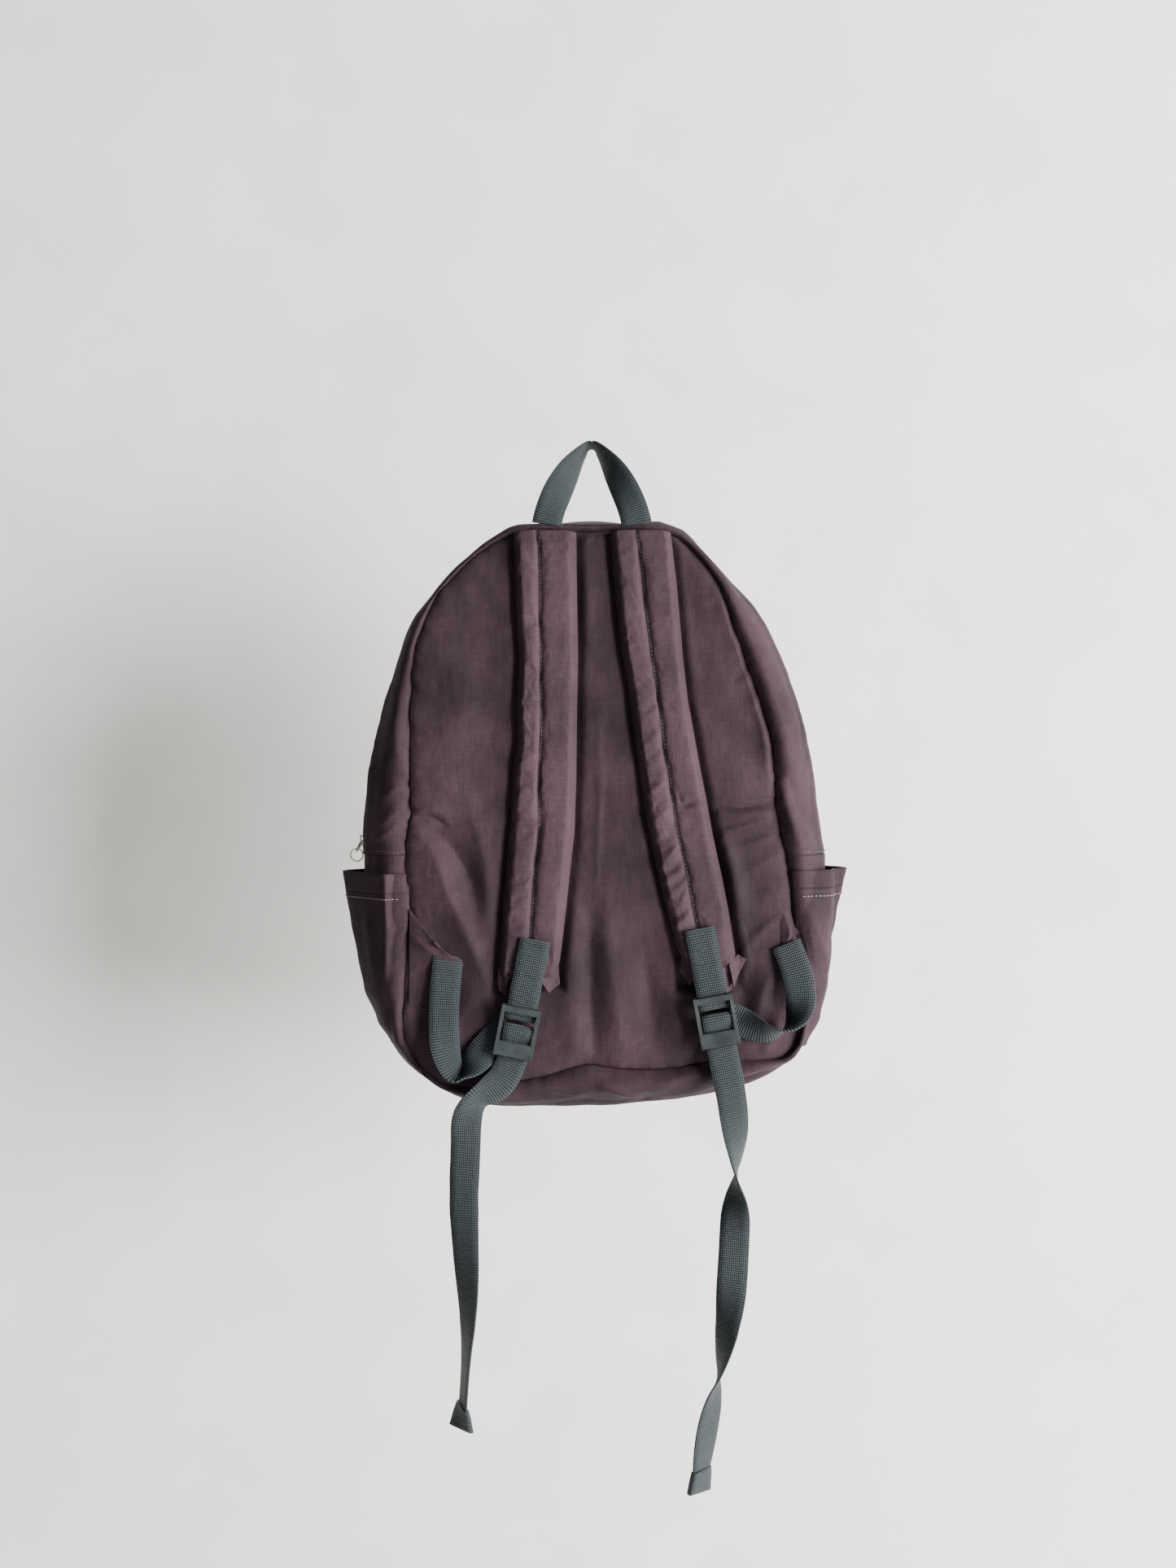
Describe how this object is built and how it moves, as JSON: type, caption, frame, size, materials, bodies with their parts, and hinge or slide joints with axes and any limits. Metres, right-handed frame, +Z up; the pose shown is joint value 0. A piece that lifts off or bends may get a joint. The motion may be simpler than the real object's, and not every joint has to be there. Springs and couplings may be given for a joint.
{
  "type": "daypack",
  "caption": "Soft zip-front daypack with padded shoulder straps, ladder-lock webbing, side pockets, a front pocket and a top grab loop, hanging by the loop.",
  "frame": {"origin": "inside top of the grab loop, where it bears on a hook", "axes": "+Z up along the pack's height, +Y from the wearer's side to the front pocket, +X to the right seen from the wearer's side"},
  "size_m": [0.4096, 0.154, 0.8532],
  "materials": {
    "shell_fabric": "plum nylon packcloth, soft sheen",
    "lining": "dark lining cloth",
    "webbing": "slate grey ribbed webbing",
    "foam": "closed-cell foam",
    "zip_tape": "woven zip tape",
    "zip_coil": "nylon coil",
    "slider_metal": "dark plated zinc",
    "ring_metal": "pale polished metal",
    "stop_metal": "dark stamped metal",
    "lock_plastic": "dark grey moulded acetal"
  },
  "bodies": {
    "pack": {"back_foam": "foam", "back_lining": "lining", "back_panel": "shell_fabric", "bottom_panel": "shell_fabric", "front_panel_lower": "shell_fabric", "inner_sleeve": "lining", "inner_sleeve_binding": "lining", "lower_webbing_left": "webbing", "lower_webbing_right": "webbing", "main_zip_end_coils": "zip_coil", "main_zip_end_tapes": "zip_tape", "main_zip_rear_coil": "zip_coil", "main_zip_rear_tape": "zip_tape", "main_zip_stops": "stop_metal", "pocket_header": "shell_fabric", "pocket_panel": "shell_fabric", "pocket_zip_coils": "zip_coil", "pocket_zip_stops": "stop_metal", "pocket_zip_tapes": "zip_tape", "rear_gusset": "shell_fabric", "seam_binding": "lining", "side_panel_left": "shell_fabric", "side_panel_right": "shell_fabric", "side_pocket_hem_left": "shell_fabric", "side_pocket_hem_right": "shell_fabric", "side_pocket_left": "shell_fabric", "side_pocket_right": "shell_fabric", "strap_wing_left": "shell_fabric", "strap_wing_right": "shell_fabric"},
    "flap": {"front_panel_upper": "shell_fabric", "front_gusset": "shell_fabric", "main_zip_front_tape": "zip_tape", "main_zip_front_coil": "zip_coil"},
    "grab_loop": {"grab_loop": "webbing"},
    "main_slider": {"main_slider": "slider_metal"},
    "upper_ring": {"pull_ring_upper": "ring_metal"},
    "lower_ring": {"pull_ring_lower": "ring_metal"},
    "pocket_slider": {"pocket_slider": "slider_metal"},
    "pocket_ring": {"pocket_pull_ring": "ring_metal"},
    "strap_left": {"strap_casing_left": "shell_fabric", "strap_foam_left": "foam", "strap_backing_left": "shell_fabric", "webbing_tab_left": "webbing"},
    "lock_left": {"ladder_lock_left": "lock_plastic", "webbing_turn_left": "webbing"},
    "tail_left": {"webbing_tail_left": "webbing", "tail_hem_left": "webbing"},
    "strap_right": {"strap_casing_right": "shell_fabric", "strap_foam_right": "foam", "strap_backing_right": "shell_fabric", "webbing_tab_right": "webbing"},
    "lock_right": {"ladder_lock_right": "lock_plastic", "webbing_turn_right": "webbing"},
    "tail_right": {"webbing_tail_right": "webbing", "tail_hem_right": "webbing"}
  },
  "joints": [
    {"name": "grab_loop_fold", "type": "hinge", "parent": "pack", "child": "grab_loop", "pos_m": [0, -0.025, -0.07], "axis": [1, 0, 0], "range_deg": [-40, 85], "stiffness_Nm_per_rad": 0.03},
    {"name": "flap_open", "type": "hinge", "parent": "pack", "child": "flap", "pos_m": [0, 0.06623, -0.32], "axis": [-1, 0, 0], "range_deg": [0, 78]},
    {"name": "main_zip_run", "type": "hinge", "parent": "pack", "child": "main_slider", "pos_m": [0.21015, 0.025, -0.34], "axis": [0, 1, 0], "range_deg": [0, 27.4]},
    {"name": "upper_ring_swing", "type": "hinge", "parent": "main_slider", "child": "upper_ring", "pos_m": [-0.19392, 0.025, -0.32977], "axis": [0, 1, 0], "range_deg": [-4, 100]},
    {"name": "lower_ring_swing", "type": "hinge", "parent": "upper_ring", "child": "lower_ring", "pos_m": [-0.19912, 0.025, -0.33878], "axis": [0, 1, 0], "range_deg": [-5, 50]},
    {"name": "pocket_zip_run", "type": "slide", "parent": "pack", "child": "pocket_slider", "axis": [1, 0, 0], "range_m": [0, 0.208]},
    {"name": "pocket_ring_swing", "type": "hinge", "parent": "pocket_slider", "child": "pocket_ring", "pos_m": [-0.104, 0.08913, -0.37254], "axis": [0, -0.061, 0.9981], "range_deg": [-20, 120]},
    {"name": "strap_lift_left", "type": "hinge", "parent": "pack", "child": "strap_left", "pos_m": [0, -0.0275, -0.076], "axis": [-1, 0, 0], "range_deg": [0, 18]},
    {"name": "lock_tilt_left", "type": "hinge", "parent": "strap_left", "child": "lock_left", "pos_m": [-0.0573, -0.0408, -0.469], "axis": [-0.9816, 0, 0.1908], "range_deg": [0, 15]},
    {"name": "strap_adjust_left", "type": "slide", "parent": "lock_left", "child": "tail_left", "axis": [-0.1908, 0, -0.9816], "range_m": [0, 0.08]},
    {"name": "strap_lift_right", "type": "hinge", "parent": "pack", "child": "strap_right", "pos_m": [0, -0.0275, -0.076], "axis": [-1, 0, 0], "range_deg": [0, 15]},
    {"name": "lock_tilt_right", "type": "hinge", "parent": "strap_right", "child": "lock_right", "pos_m": [0.0979, -0.0408, -0.4598], "axis": [-0.9833, 0, -0.1822], "range_deg": [0, 15]},
    {"name": "strap_adjust_right", "type": "slide", "parent": "lock_right", "child": "tail_right", "axis": [0.1822, 0, -0.9833], "range_m": [0, 0.08]}
  ]
}
